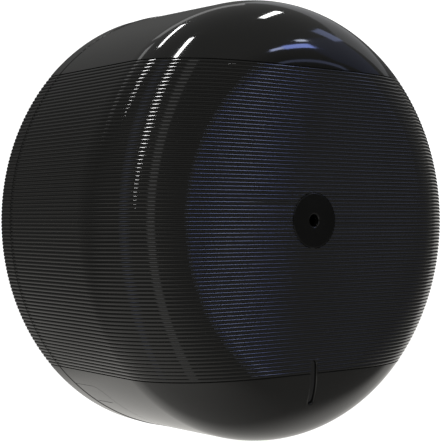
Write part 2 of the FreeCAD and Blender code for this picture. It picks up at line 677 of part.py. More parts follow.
def lock_cam_washer():
    """Washer under the head of the cam screw."""
    washer = lock_bar(CAM_WASHER_RADIUS, CAM_SCREW_SEAT, CAM_UNDER)
    return washer.cut(CAM_SCREW.hole())


def lock_strike():
    """Bent steel hook on the wall plate; the locked cam lies behind it."""
    x1 = STRIKE_X + STRIKE_WIDTH
    middle = STRIKE_X + STRIKE_WIDTH / 2
    half_foot = STRIKE_FOOT_WIDTH / 2
    leg_under = STRIKE_LEG_TOP - STRIKE_SHEET
    hook_top = CAM_TOP + STRIKE_HOOK_OVER
    hook_front = STRIKE_HOOK_DEPTH + STRIKE_SHEET
    strike = block(middle - half_foot, middle + half_foot, PLATE, PLATE + STRIKE_SHEET,
                   STRIKE_LEG_TOP - STRIKE_FOOT_HEIGHT, STRIKE_LEG_TOP)
    strike = strike.fuse(block(STRIKE_X, x1, PLATE, hook_front, leg_under, STRIKE_LEG_TOP))
    strike = strike.fuse(block(STRIKE_X, x1, STRIKE_HOOK_DEPTH, hook_front, leg_under, hook_top))
    return drilled(strike.removeSplitter(), STRIKE_SCREWS)


def bayonet_arcs(half_angle, turn, inner, outer, depth0, depth1):
    """Equal arcs about the drum axis, one per lug, turned from the lugs' place at rest."""
    band = ring(outer, inner, depth0, depth1)
    arcs = []
    for index in range(LUGS):
        middle = turn + 360 * index / LUGS
        arcs.append(band.common(sector(middle - half_angle, middle + half_angle, depth0, depth1)))
    return Part.makeCompound(arcs)


def nozzle_cone():
    """Outlet: flat disc with the countersunk paper hole, a flared entry and bayonet lugs."""
    hole_front = NOZZLE_FACE - NOZZLE_MOUTH_DEPTH
    body = turned_outline([
        (NOZZLE_HOLE_RADIUS, hole_front),
        (NOZZLE_MOUTH_RADIUS, NOZZLE_FACE),
        (NOZZLE_RADIUS - NOZZLE_EDGE, NOZZLE_FACE),
        (NOZZLE_RADIUS, NOZZLE_FACE - NOZZLE_EDGE),
        (NOZZLE_RADIUS, NOZZLE_SEAT),
        (NOZZLE_TUBE_RADIUS, NOZZLE_SEAT),
        (NOZZLE_TUBE_RADIUS, NOZZLE_TUBE_REAR),
        (NOZZLE_ENTRY_RADIUS, NOZZLE_TUBE_REAR),
        (NOZZLE_HOLE_RADIUS, hole_front - NOZZLE_HOLE_LENGTH),
    ])
    inside = (NOZZLE_ENTRY_RADIUS + NOZZLE_TUBE_RADIUS) / 2
    lugs = bayonet_arcs(
        LUG_HALF_ANGLE, 0, inside, NOZZLE_TUBE_RADIUS + LUG_REACH, LUG_FRONT - LUG_THICKNESS, LUG_FRONT
    )
    return body.fuse(lugs).removeSplitter()


def nozzle_seal():
    """Rubber washer behind the nozzle's disc."""
    outer = NOZZLE_RADIUS - SEAL_EDGE
    inner = NOZZLE_TUBE_RADIUS + SEAL_EDGE
    return ring(outer, inner, FRONT_INSIDE + SEAL_GAP, NOZZLE_SEAT)


def nozzle_collar():
    """Seat of the nozzle inside the front wall, with bayonet slots and stops."""
    bore = NOZZLE_TUBE_RADIUS + NOZZLE_RUNNING_FIT
    way = NOZZLE_TUBE_RADIUS + LUG_REACH + LUG_GAP
    collar = ring(COLLAR_RADIUS, bore, COLLAR_REAR, FRONT_INSIDE)
    slots = bayonet_arcs(SLOT_HALF_ANGLE, NOZZLE_TURN, bore - CUT_MARGIN, way, COLLAR_REAR, FRONT_INSIDE)
    stop_turn = (NOZZLE_TURN + 360 / LUGS) / 2
    stops = bayonet_arcs(STOP_HALF_ANGLE, stop_turn, bore, way, LUG_FRONT - LUG_THICKNESS, COLLAR_REAR)
    return drilled(collar.cut(slots).fuse(stops).removeSplitter(), COLLAR_FIXINGS)


def level_window():
    """Dark lens in the slot, bonded behind it by a flange."""
    rear = BODY_DEPTH - EDGE_RADIUS
    flange_face = WALL + BOND_LINE
    lens = shell(WINDOW_RECESS, flange_face, rear).common(window_prism(-WINDOW_CLEARANCE))
    flange = shell(flange_face, flange_face + WINDOW_FLANGE, rear).common(window_prism(WINDOW_FLANGE_EDGE))
    return lens.fuse(flange).removeSplitter()


PIECES = {
    "back_plate": back_plate(),
    "hinge_skirt": hinge_skirt(),
    "skirt_screws": group(SKIRT_SCREWS),
    "hinge_pin": hinge_pin(),
    "hinge_pin_clips": hinge_pin_clips(),
    "roll_cradle": roll_cradle(),
    "cradle_screws": group(CRADLE_SCREWS),
    "lock_strike": lock_strike(),
    "strike_screws": group(STRIKE_SCREWS),
    "front_cover": front_cover(),
    "level_window": level_window(),
    "cover_hinge_bracket": cover_hinge_bracket(),
    "cover_hinge_screws": group(BRACKET_SCREWS),
    "nozzle_collar": nozzle_collar(),
    "collar_screws": group(COLLAR_FIXINGS),
    "lock_housing": lock_housing(),
    "lock_housing_screws": group(HOUSING_SCREWS),
    "lock_barrel": lock_barrel(),
    "lock_wave_washer": lock_wave_washer(),
    "lock_cam": lock_cam(),
    "lock_cam_washer": lock_cam_washer(),
    "lock_cam_screw": CAM_SCREW.solid(),
    "nozzle_cone": nozzle_cone(),
    "nozzle_seal": nozzle_seal(),
}

os.makedirs("parts", exist_ok=True)
for name, shape in PIECES.items():
    shape.exportStep(f"parts/{name}.step")
    print(name, len(shape.Solids), "solids", shape.isValid(), round(shape.Volume), "mm3")
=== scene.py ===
# %% [markdown]
# # A round paper dispenser with a ribbed cover
# The CAD model is the frame that everything else is fitted to: it has the right sizes, bodies and
# joints. This lesson dresses it. The large glossy shells are modelled again with the fine ribs that
# a moulding tool gives them, the small pieces keep their shape, and every piece gets a finish.

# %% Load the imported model
import json
import math

import bpy
import numpy as np
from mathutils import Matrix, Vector


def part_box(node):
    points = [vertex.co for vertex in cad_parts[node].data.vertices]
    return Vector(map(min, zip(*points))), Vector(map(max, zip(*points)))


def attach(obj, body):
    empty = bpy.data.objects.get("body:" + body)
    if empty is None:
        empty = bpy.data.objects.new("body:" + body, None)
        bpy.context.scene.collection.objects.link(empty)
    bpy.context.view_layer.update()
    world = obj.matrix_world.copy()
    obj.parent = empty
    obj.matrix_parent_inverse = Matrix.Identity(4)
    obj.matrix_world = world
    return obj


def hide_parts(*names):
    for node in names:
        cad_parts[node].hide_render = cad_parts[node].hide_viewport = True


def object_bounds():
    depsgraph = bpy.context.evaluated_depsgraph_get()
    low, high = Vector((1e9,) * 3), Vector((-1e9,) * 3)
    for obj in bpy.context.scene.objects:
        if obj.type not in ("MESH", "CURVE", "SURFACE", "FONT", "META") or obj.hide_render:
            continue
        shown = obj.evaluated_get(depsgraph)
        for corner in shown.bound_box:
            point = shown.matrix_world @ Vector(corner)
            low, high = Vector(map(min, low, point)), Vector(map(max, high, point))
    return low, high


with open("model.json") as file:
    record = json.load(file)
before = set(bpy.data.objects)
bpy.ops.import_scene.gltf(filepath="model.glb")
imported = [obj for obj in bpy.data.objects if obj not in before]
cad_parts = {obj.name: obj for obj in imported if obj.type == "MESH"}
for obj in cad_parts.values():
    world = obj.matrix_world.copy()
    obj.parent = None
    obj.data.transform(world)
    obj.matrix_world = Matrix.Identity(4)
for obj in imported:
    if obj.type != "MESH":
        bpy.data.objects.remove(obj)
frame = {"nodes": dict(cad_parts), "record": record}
cad_low, cad_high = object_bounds()
nodes = frame["nodes"]
print("CAD nodes:", len(nodes), "size in mm:", [round(1000 * side) for side in cad_high - cad_low])

# %% [markdown]
# ## Small helpers
# An operator works on whatever is selected, so each helper first selects one object alone. The
# second one goes into edit mode with only the wanted vertices or edges selected, found by their
# place.

# %% Selecting by place
MM = 0.001


def alone(obj):
    """Object mode, with this object selected alone."""
    if bpy.context.mode != "OBJECT":
        bpy.ops.object.mode_set(mode="OBJECT")
    bpy.ops.object.select_all(action="DESELECT")
    obj.select_set(True)
    bpy.context.view_layer.objects.active = obj


def edit(obj, kind, wanted):
    """Edit mode with the wanted vertices or edges selected; each is given as its corners."""
    alone(obj)
    bpy.ops.object.mode_set(mode="EDIT")
    bpy.ops.mesh.select_mode(type=kind)
    bpy.ops.mesh.select_all(action="DESELECT")
    bpy.ops.object.mode_set(mode="OBJECT")
    vertices = obj.data.vertices
    if kind == "VERT":
        for vertex in vertices:
            vertex.select = wanted([vertex.co])
    else:
        for line in obj.data.edges:
            line.select = wanted([vertices[i].co for i in line.vertices])
    bpy.ops.object.mode_set(mode="EDIT")


def everything(corners):
    """Test that every part passes."""
    return True


def named(name):
    """The object that an operator has just made, under its own name."""
    obj = bpy.context.object
    obj.name = name
    obj.data.name = name
    return obj


# %% Merging, joining, cutting and smoothing
MERGE_GAP = 0.004 * MM
SMOOTH_ANGLE = math.radians(30)


def merged(obj):
    """Closes the seams between faces that meet, and turns all faces outwards."""
    edit(obj, "VERT", everything)
    bpy.ops.mesh.remove_doubles(threshold=MERGE_GAP)
    bpy.ops.mesh.normals_make_consistent(inside=False)
    bpy.ops.object.mode_set(mode="OBJECT")
    return obj


def joined(name, objects):
    """One object from several."""
    alone(objects[0])
    for obj in objects[1:]:
        obj.select_set(True)
    bpy.ops.object.join()
    return named(name)


def settled(obj):
    """Puts the object's place and turn into its mesh."""
    alone(obj)
    bpy.ops.object.transform_apply(location=True, rotation=True, scale=True)
    return obj


def combined(obj, other, operation):
    """Cuts, joins or trims the object with another one, which is used up."""
    alone(obj)
    modifier = obj.modifiers.new("combine", "BOOLEAN")
    modifier.operation = operation
    modifier.solver = "MANIFOLD"
    modifier.object = other
    bpy.ops.object.modifier_apply(modifier=modifier.name)
    bpy.data.objects.remove(other)
    return obj


def smooth(obj):
    """Shades round faces smooth and leaves real edges sharp; large faces lead at a small edge."""
    alone(obj)
    bpy.ops.object.shade_smooth_by_angle(angle=SMOOTH_ANGLE)
    modifier = obj.modifiers.new("weighted", "WEIGHTED_NORMAL")
    modifier.keep_sharp = True
    bpy.ops.object.modifier_apply(modifier=modifier.name)
    return obj


def open_edges(obj):
    """How many edges don't join exactly two faces."""
    uses = np.zeros(len(obj.data.edges), int)
    for loop in obj.data.loops:
        uses[loop.edge_index] += 1
    return int((uses != 2).sum())


# %% [markdown]
# ## The drum's line
# The cover is a drum with a slightly conical side, one large soft edge and a flat front disc. All
# of it follows from one line, given as radius and depth from the wall. The ribs need the same line
# a little further in, so the line takes an inset.

# %% The line from the rear of the cover to the front disc
REAR_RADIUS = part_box("back_plate")[1].x
DRUM_DEPTH = -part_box("front_cover")[0].y
SEAM_CLOSED = 0.38 * MM  # the seam at the rim hardly shows on the real one
COVER_REAR = -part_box("front_cover")[1].y - SEAM_CLOSED
DRAFT = math.radians(1.75)
EDGE_RADIUS = 50.5 * MM
EDGE_STEPS = 30
WALL = 3 * MM
TANGENT_DEPTH = DRUM_DEPTH - EDGE_RADIUS + EDGE_RADIUS * math.sin(DRAFT)
EDGE_CENTRE = REAR_RADIUS - TANGENT_DEPTH * math.tan(DRAFT) - EDGE_RADIUS * math.cos(DRAFT)


def side_radius(depth, inset=0.0):
    """Radius of the drum's side."""
    return REAR_RADIUS - depth * math.tan(DRAFT) - inset / math.cos(DRAFT)


def drum_line(inset=0.0):
    """Radius and depth of points along the cover, rear to front."""
    angles = np.linspace(DRAFT, math.pi / 2, EDGE_STEPS + 1)
    radius = EDGE_CENTRE + (EDGE_RADIUS - inset) * np.cos(angles)
    depth = DRUM_DEPTH - EDGE_RADIUS + (EDGE_RADIUS - inset) * np.sin(angles)
    side = [[side_radius(COVER_REAR, inset), COVER_REAR]]
    return np.vstack([side, np.column_stack([radius, depth])])


print("front disc radius in mm:", round(EDGE_CENTRE / MM, 2))

# %% [markdown]
# ## The ribs
# The band across the middle has 82 level ribs, 2.5 mm apart, cut into the moulding tool. Each is a
# low rounded bump with a sharp valley beside it. Ribs could be painted as bump, but they break the
# outline at the left and throw their own rows of highlights, so they are real geometry.
# A rib follows the side, the soft edge and the front in one sweep. No single operator does that: a
# grid primitive is added with a row for each height, and its points are laid on the drum's line.

# %% Heights across the band and how deep each lies
RIB_PITCH = 2.5 * MM
RIBS = 82
RIB_DEPTH = 0.55 * MM
RIB_SAMPLES = 8
BAND_HALF = RIBS * RIB_PITCH / 2
BAND_STEP = 0.4 * MM
BAND_EDGE = BAND_HALF + BAND_STEP

crest_radius = (RIB_PITCH ** 2 / 4 + RIB_DEPTH ** 2) / (2 * RIB_DEPTH)
half_turn = math.asin(RIB_PITCH / 2 / crest_radius)
turns = np.linspace(-half_turn, half_turn, RIB_SAMPLES + 1)
rib_heights = crest_radius * np.sin(turns)
rib_insets = crest_radius * (1 - np.cos(turns))
band_rows = [(-BAND_EDGE, 0.0)]
for rib in range(RIBS):
    centre = (rib + 0.5) * RIB_PITCH - BAND_HALF
    last = RIB_SAMPLES + 1 if rib == RIBS - 1 else RIB_SAMPLES
    band_rows += [(centre + rib_heights[i], rib_insets[i]) for i in range(last)]
band_rows.append((BAND_EDGE, 0.0))
print("rows across the band:", len(band_rows), "steepest slope:", round(math.degrees(half_turn), 1))


# %% A grid primitive laid on given places
def laid_grid(name, places):
    """A grid with its points at the places, an array of rows, columns and x, y, z."""
    rows, columns = places.shape[:2]
    bpy.ops.object.select_all(action="DESELECT")
    bpy.ops.mesh.primitive_grid_add(x_subdivisions=columns - 1, y_subdivisions=rows - 1, size=1)
    grid = named(name)
    grid.data.vertices.foreach_set("co", places.astype(np.float32).ravel())
    grid.data.update()
    return grid


# %% The ribbed band of the cover
FLAT_MARGIN = 1 * MM


def band_row(height, inset):
    """Points of one row, from the rear left round the front to the rear right."""
    line = drum_line(inset)
    across = np.sqrt(line[:, 0] ** 2 - height ** 2)
    across = np.append(across, across[-1] - FLAT_MARGIN)
    depth = np.append(line[:, 1], line[-1, 1])
    half = np.column_stack([-across, -depth, np.full(len(across), height)])
    return np.vstack([half, half[::-1] * (-1, 1, 1)])


band = laid_grid("band", np.array([band_row(height, inset) for height, inset in band_rows]))
print("band points:", len(band.data.vertices))

# %% The smooth caps above and below it
CAP_STEPS = 128


def cap_places(side):
    """Points of a cap: a row for each point of the line, across from left to right."""
    rows = []
    for radius, depth in drum_line():
        start = math.asin(BAND_EDGE / radius)
        angles = np.linspace(math.pi - start, start, CAP_STEPS + 1)
        depths = np.full(len(angles), -depth)
        rows.append(np.column_stack([radius * np.cos(angles), depths, side * radius * np.sin(angles)]))
    return np.array(rows)


caps = [laid_grid("cap", cap_places(side)) for side in (1, -1)]
print("points of each cap:", [len(cap.data.vertices) for cap in caps])

# %% [markdown]
# ## The inside of the cover
# Inside, the wall is smooth and 3 mm from the outside. Its line is drawn point by point with the
# extrude operator, as one would by hand, and the spin operator turns it once round the drum's axis.

# %% Draw the inner line and spin it
SPIN_STEPS = 160


def drawn_line(name, points):
    """A chain of edges through the points, extruded from one corner of a plane."""
    bpy.ops.object.select_all(action="DESELECT")
    bpy.ops.mesh.primitive_plane_add(size=1)
    line = named(name)
    edit(line, "VERT", everything)
    bpy.ops.mesh.merge(type="CENTER")
    bpy.ops.transform.translate(value=points[0])
    for here, there in zip(points, points[1:]):
        step = Vector(there) - Vector(here)
        bpy.ops.mesh.extrude_region_move(TRANSFORM_OT_translate={"value": step})
    bpy.ops.object.mode_set(mode="OBJECT")
    return line


def spun(name, outline, steps):
    """An outline of radius and depth, turned once round the drum's axis."""
    line = drawn_line(name, [(radius, -depth, 0) for radius, depth in outline])
    edit(line, "EDGE", everything)
    bpy.ops.mesh.spin(steps=steps, angle=2 * math.pi, center=(0, 0, 0), axis=(0, 1, 0))
    return merged(line)


inner_line = [*drum_line(WALL), (0, DRUM_DEPTH - WALL)]
inner = spun("inner", inner_line, SPIN_STEPS)
print("inner points:", len(inner.data.vertices))

# %% Join the skins and close the front and the rear edge
CLOSE = 0.01 * MM
cover = merged(joined("cover_shell", [band, *caps, inner]))


def open_at(depth, side=0):
    """Test for the edges of the shell at one depth, and above or below the band."""
    return lambda corners: all(
        abs(corner.y + depth) < CLOSE and corner.z * side >= BAND_EDGE * abs(side) - CLOSE
        for corner in corners
    )


for side in (1, -1):
    edit(cover, "EDGE", open_at(DRUM_DEPTH, side))
    bpy.ops.mesh.edge_face_add()
edit(cover, "EDGE", open_at(COVER_REAR))
bpy.ops.mesh.fill(use_beauty=True)
merged(cover)
print("cover faces:", len(cover.data.polygons), "open edges:", open_edges(cover))

# %% [markdown]
# ## Openings in the cover
# The cover has a notch at the bottom that the fixed skirt fills, a round hole for the nozzle, the
# slot of the level window, a round hole for the lock and a round pocket along the hinge. Each
# cutter starts as a primitive and is shaped in edit mode. One Boolean takes out the first four
# together, and a second one the pocket, which overlaps the notch.

# %% Round cutters
ROUND_STEPS = 128


def round_bar(name, radius, length, place, turn):
    """A cylinder, its place and turn in its mesh."""
    bpy.ops.object.select_all(action="DESELECT")
    bpy.ops.mesh.primitive_cylinder_add(
        vertices=ROUND_STEPS, radius=radius, depth=length, location=place, rotation=turn
    )
    return settled(named(name))


UPRIGHT = (0, 0, 0)
ALONG_Y = (math.pi / 2, 0, 0)
ALONG_X = (0, math.pi / 2, 0)
NOZZLE_HOLE = 18.8 * MM
LOCK_HOLE = 10.3 * MM
LOCK_DEPTH = 30 * MM
CUT_LENGTH = 40 * MM
nozzle_way = round_bar("nozzle_way", NOZZLE_HOLE, CUT_LENGTH, (0, -DRUM_DEPTH, 0), ALONG_Y)
lock_way = round_bar("lock_way", LOCK_HOLE, CUT_LENGTH, (0, -LOCK_DEPTH, REAR_RADIUS), UPRIGHT)
print("round holes in mm:", round(2 * NOZZLE_HOLE / MM, 1), round(2 * LOCK_HOLE / MM, 1))

# %% [markdown]
# The slot has a rounded edge that follows the soft edge of the drum. A bevel can't run over the
# ribs, so the cutter itself is flared: rings of points round the slot, wider towards the outside.

# %% The flared cutter of the slot
SLOT_HALF = 2.2 * MM
SLOT_EDGE = 1.7 * MM
SLOT_LENGTH = 29.1 * MM
SLOT_FOOT = 33.7 * MM  # lower end of the slot above the foot of the drum
SLOT_LOW = SLOT_FOOT - REAR_RADIUS + SLOT_HALF
SLOT_HIGH = SLOT_LOW + SLOT_LENGTH - 2 * SLOT_HALF
END_STEPS = 24
SIDE_STEPS = 40
FLARE_STEPS = 9
FLARE_END = math.radians(80)
ABOVE_FACE = 3 * MM
BELOW_FACE = 25 * MM


def slot_outline(half):
    """Points round the slot at a distance from its middle line, as x and z."""
    turn = np.linspace(0, math.pi, END_STEPS + 1)
    down = np.linspace(SLOT_HIGH, SLOT_LOW, SIDE_STEPS + 1)[1:-1]
    top = np.column_stack([half * np.cos(turn), SLOT_HIGH + half * np.sin(turn)])
    left = np.column_stack([np.full(len(down), -half), down])
    bottom = np.column_stack([-half * np.cos(turn), SLOT_LOW - half * np.sin(turn)])
    right = np.column_stack([np.full(len(down), half), down[::-1]])
    return np.vstack([top, left, bottom, right, top[:1]])


def face_depth(places):
    """Depth of the drum's outer face at some x and z."""
    beyond = np.clip(np.hypot(places[:, 0], places[:, 1]) - EDGE_CENTRE, 0, None)
    return DRUM_DEPTH - EDGE_RADIUS + np.sqrt(EDGE_RADIUS ** 2 - beyond ** 2)


def slot_ring(half, depth):
    """One ring of the cutter, at one depth or a depth for each point."""
    places = slot_outline(half)
    return np.column_stack([places[:, 0], -np.broadcast_to(depth, len(places)), places[:, 1]])


slot_rings = [slot_ring(SLOT_HALF, DRUM_DEPTH - BELOW_FACE)]
for flare in np.linspace(0, FLARE_END, FLARE_STEPS):
    ring_half = SLOT_HALF + SLOT_EDGE * (1 - math.cos(flare))
    ring_depth = face_depth(slot_outline(ring_half)) - SLOT_EDGE * (1 - math.sin(flare))
    slot_rings.append(slot_ring(ring_half, ring_depth))
slot_rings.append(slot_ring(ring_half, DRUM_DEPTH + ABOVE_FACE))
slot_way = merged(laid_grid("slot_way", np.array(slot_rings)))
for end_depth in (DRUM_DEPTH - BELOW_FACE, DRUM_DEPTH + ABOVE_FACE):
    edit(slot_way, "EDGE", open_at(end_depth))
    bpy.ops.mesh.edge_face_add()
merged(slot_way)
print("slot cutter faces:", len(slot_way.data.polygons), "open edges:", open_edges(slot_way))

# %% [markdown]
# The cover swings down round a pin near the wall, so its side would hit the wall plate there. The
# notch takes that part of the side away, and a skirt on the wall plate fills it. A wedge from the
# drum's axis gives the notch its straight sides, and the bevel operator rounds its two corners.

# %% The notch: a wedge with its two front edges rounded
NOTCH_ANGLE = math.radians(42.5)
NOTCH_EDGE = 42.9 * MM
NOTCH_CORNER = 8.4 * MM
CORNER_STEPS = 12
ROUND_PROFILE = 0.5
reach = 2 * REAR_RADIUS
corner_x = reach * math.sin(NOTCH_ANGLE)
corner_z = -reach * math.cos(NOTCH_ANGLE)
notch = drawn_line("notch", [(0, 0, 0), (corner_x, 0, corner_z), (-corner_x, 0, corner_z)])
edit(notch, "VERT", everything)
bpy.ops.mesh.edge_face_add()
bpy.ops.mesh.extrude_region_move(TRANSFORM_OT_translate={"value": (0, -NOTCH_EDGE, 0)})
merged(notch)


def is_notch_corner(corners):
    """True for the two front edges that run out from the axis."""
    at_front = all(abs(corner.y + NOTCH_EDGE) < CLOSE for corner in corners)
    return at_front and any(corner.z > -CLOSE for corner in corners)


edit(notch, "EDGE", is_notch_corner)
bpy.ops.mesh.bevel(
    offset=NOTCH_CORNER, segments=CORNER_STEPS, profile=ROUND_PROFILE, clamp_overlap=False
)
merged(notch)
print("notch faces:", len(notch.data.polygons), "open edges:", open_edges(notch))

# %% Cut the openings
HINGE_POCKET = 6.4 * MM
HINGE_POCKET_LENGTH = 68 * MM
pin_low, pin_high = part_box("hinge_pin")
hinge_place = (pin_low + pin_high) / 2
pocket = round_bar("pocket", HINGE_POCKET, HINGE_POCKET_LENGTH, hinge_place, ALONG_X)
combined(cover, joined("openings", [nozzle_way, lock_way, slot_way, notch]), "DIFFERENCE")
combined(cover, pocket, "DIFFERENCE")
smooth(cover)
print("cover faces:", len(cover.data.polygons), "open edges:", open_edges(cover))

# %% [markdown]
# ## The wall plate
# The wall plate's rim shows as a narrow band behind the cover, and the ribs run on over it. The rim
# is straight, without the cover's draft. It is modelled as a ring whose outer points follow the
# ribs. A merged copy of the CAD plate is trimmed to a round bar, and the ring is joined on in place
# of the plain rim. Faces in one plane confuse a Boolean, so both ends of the ring stay a hair inside.


# %% A merged copy of a CAD node
def merged_copy(node, name):
    """A copy of a CAD node with its triangles joined up, and without the shading it came with."""
    copy = bpy.data.objects.new(name, nodes[node].data.copy())
    copy.data.name = name
    bpy.context.scene.collection.objects.link(copy)
    merged(copy)
    alone(copy)
    bpy.ops.mesh.customdata_custom_splitnormals_clear()
    return copy


wall_plate = merged_copy("back_plate", "wall_plate")
print("wall plate faces:", len(wall_plate.data.polygons), "open edges:", open_edges(wall_plate))

# %% The ribbed rim
RIM_HAIR = 0.05 * MM
RIM_REAR = RIM_HAIR
RIM_FRONT = 13 * MM - RIM_HAIR
RIM_INNER = REAR_RADIUS - 2.8 * MM
RIM_EDGE = 0.5 * MM
RIM_EDGE_MIDDLE = 0.3 * RIM_EDGE
TRIM_RADIUS = REAR_RADIUS - 2.4 * MM
TRIM_LENGTH = 160 * MM
ARC_STEPS = 96


def rim_insets():
    """Angle from the right and inset of each point round the rim."""
    heights = np.array(band_rows)
    right = [(math.asin(z / (REAR_RADIUS - inset)), inset) for z, inset in heights]
    start = right[-1][0]
    top = [(angle, 0.0) for angle in np.linspace(start, math.pi - start, ARC_STEPS + 1)[1:-1]]
    half = np.array(right + top)
    return np.vstack([half, half + (math.pi, 0), half[:1] + (2 * math.pi, 0)])


def rim_ring(inset_more, depth, inner=False):
    """Points round the rim at one depth, on its ribbed outside or its plain inside."""
    angles, insets = rim_insets().T
    radius = np.full(len(angles), RIM_INNER) if inner else REAR_RADIUS - insets - inset_more
    depths = np.full(len(angles), -depth)
    return np.column_stack([radius * np.cos(angles), depths, radius * np.sin(angles)])


rim = merged(laid_grid("rim", np.array([
    rim_ring(0, RIM_REAR, inner=True),
    rim_ring(0, RIM_REAR),
    rim_ring(0, RIM_FRONT - RIM_EDGE),
    rim_ring(RIM_EDGE_MIDDLE, RIM_FRONT - RIM_EDGE_MIDDLE),
    rim_ring(RIM_EDGE, RIM_FRONT),
    rim_ring(0, RIM_FRONT, inner=True),
    rim_ring(0, RIM_REAR, inner=True),
])))
trim = round_bar("trim", TRIM_RADIUS, TRIM_LENGTH, (0, 0, 0), ALONG_Y)
combined(wall_plate, trim, "INTERSECT")
combined(wall_plate, rim, "UNION")
smooth(wall_plate)
print("wall plate faces:", len(wall_plate.data.polygons), "open edges:", open_edges(wall_plate))

# %% [markdown]
# ## The nozzle
# The nozzle is a turned piece: a flat disc with the countersunk paper hole, and behind it a tube
# with a flared entry and three bayonet lugs. Its outline is drawn once with rounded edges and spun.
# One lug is a small face that is spun through its arc, and two copies are turned to their places.

# %% Outline of the nozzle
nozzle_low, nozzle_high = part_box("nozzle_cone")
NOZZLE_FACE = -nozzle_low.y
NOZZLE_REAR = -nozzle_high.y
NOZZLE_RADIUS = nozzle_high.x
NOZZLE_SEAT = DRUM_DEPTH - 1.75 * MM
TUBE_RADIUS = 13.9 * MM
ENTRY_RADIUS = 12 * MM
PAPER_HOLE = 4 * MM
HOLE_REAR = NOZZLE_FACE - 4 * MM
MOUTH_EDGE = 1.2 * MM
DISC_EDGE = 0.6 * MM
EDGE_TURNS = np.radians(np.linspace(0, 90, 7))


def rounded_edge(radius, depth, size, inward):
    """Points of a rounded edge that ends on a flat front face."""
    side = -1 if inward else 1
    points = [
        (radius + side * size * math.cos(turn), depth + size * (math.sin(turn) - 1))
        for turn in EDGE_TURNS
    ]
    return points if inward else points[::-1]


nozzle_line = [
    *rounded_edge(PAPER_HOLE + MOUTH_EDGE, NOZZLE_FACE, MOUTH_EDGE, inward=True),
    *rounded_edge(NOZZLE_RADIUS - DISC_EDGE, NOZZLE_FACE, DISC_EDGE, inward=False),
    (NOZZLE_RADIUS, NOZZLE_SEAT),
    (TUBE_RADIUS, NOZZLE_SEAT),
    (TUBE_RADIUS, NOZZLE_REAR),
    (ENTRY_RADIUS, NOZZLE_REAR),
    (PAPER_HOLE, HOLE_REAR),
]
nozzle = spun("nozzle_outlet", nozzle_line + nozzle_line[:1], ROUND_STEPS)
print("nozzle faces:", len(nozzle.data.polygons), "open edges:", open_edges(nozzle))

# %% Bayonet lugs
LUG_INNER = 13.4 * MM
LUG_OUTER = 17.5 * MM
LUG_FRONT = DRUM_DEPTH - 8.3 * MM
LUG_REAR = LUG_FRONT - 3 * MM
LUG_HALF_ANGLE = math.radians(12)
LUG_STEPS = 8
LUGS = 3
lug_section = [
    (LUG_INNER, LUG_REAR),
    (LUG_OUTER, LUG_REAR),
    (LUG_OUTER, LUG_FRONT),
    (LUG_INNER, LUG_FRONT),
]
lug = drawn_line("lug", [
    (radius * math.sin(LUG_HALF_ANGLE), -depth, radius * math.cos(LUG_HALF_ANGLE))
    for radius, depth in lug_section
])
edit(lug, "VERT", everything)
bpy.ops.mesh.edge_face_add()
bpy.ops.mesh.spin(steps=LUG_STEPS, angle=2 * LUG_HALF_ANGLE, center=(0, 0, 0), axis=(0, 1, 0))
merged(lug)
lugs = [lug]
for index in range(1, LUGS):
    alone(lug)
    bpy.ops.object.duplicate()
    bpy.context.object.rotation_euler.y = 2 * math.pi * index / LUGS
    lugs.append(settled(bpy.context.object))
combined(nozzle, joined("lugs", lugs), "UNION")
smooth(nozzle)
print("nozzle faces:", len(nozzle.data.polygons), "open edges:", open_edges(nozzle))

# %% [markdown]
# ## Finishes
# Colours are written as sRGB hex values and turned to linear by one function. One small function
# adds a node with its settings, its numbers and its links.


# %% Colour and node helpers
def linear(hex_colour):
    """The linear colour of an sRGB hex value."""
    channels = [int(hex_colour[i:i + 2], 16) / 255 for i in (1, 3, 5)]
    return (*[c / 12.92 if c <= 0.04045 else ((c + 0.055) / 1.055) ** 2.4 for c in channels], 1.0)


def fill(tree, node, inputs):
    """Sets inputs of a node: each is a number, a colour, or a node or socket to link from."""
    for name, value in inputs.items():
        if isinstance(value, bpy.types.Node):
            value = next(output for output in value.outputs if output.enabled)
        if isinstance(value, bpy.types.NodeSocket):
            tree.links.new(value, node.inputs[name])
        else:
            node.inputs[name].default_value = value


def add(tree, kind, inputs=None, **settings):
    """A node with its settings and inputs."""
    node = tree.nodes.new(kind)
    for name, value in settings.items():
        setattr(node, name, value)
    fill(tree, node, inputs or {})
    return node


def per_metre(size_mm):
    """Texture scale for a pattern of this size."""
    return 1 / (size_mm * MM)


def new_finish(name):
    """A material with its tree, its shader, and the coordinates of the object."""
    material = bpy.data.materials.new(name)
    material.use_nodes = True
    tree = material.node_tree
    place = add(tree, "ShaderNodeTexCoord").outputs["Object"]
    return material, tree, tree.nodes["Principled BSDF"], place


# %% [markdown]
# The shells, the nozzle and the lens are moulded in polished tools. Such a black is very dark and
# shows clear reflections. The melt leaves a faint haze in broad patches as it flows, and the skin
# shrinks to a trace of orange peel, so the gloss and the surface vary a little.

# %% Black plastics from a polished tool
FLOW_MM = 45
PEEL_MM = 4
PEEL_DEPTH = 0.02 * MM
PEEL_STRENGTH = 0.05
CLOUD_SPAN = {"From Min": 0.3, "From Max": 0.7}


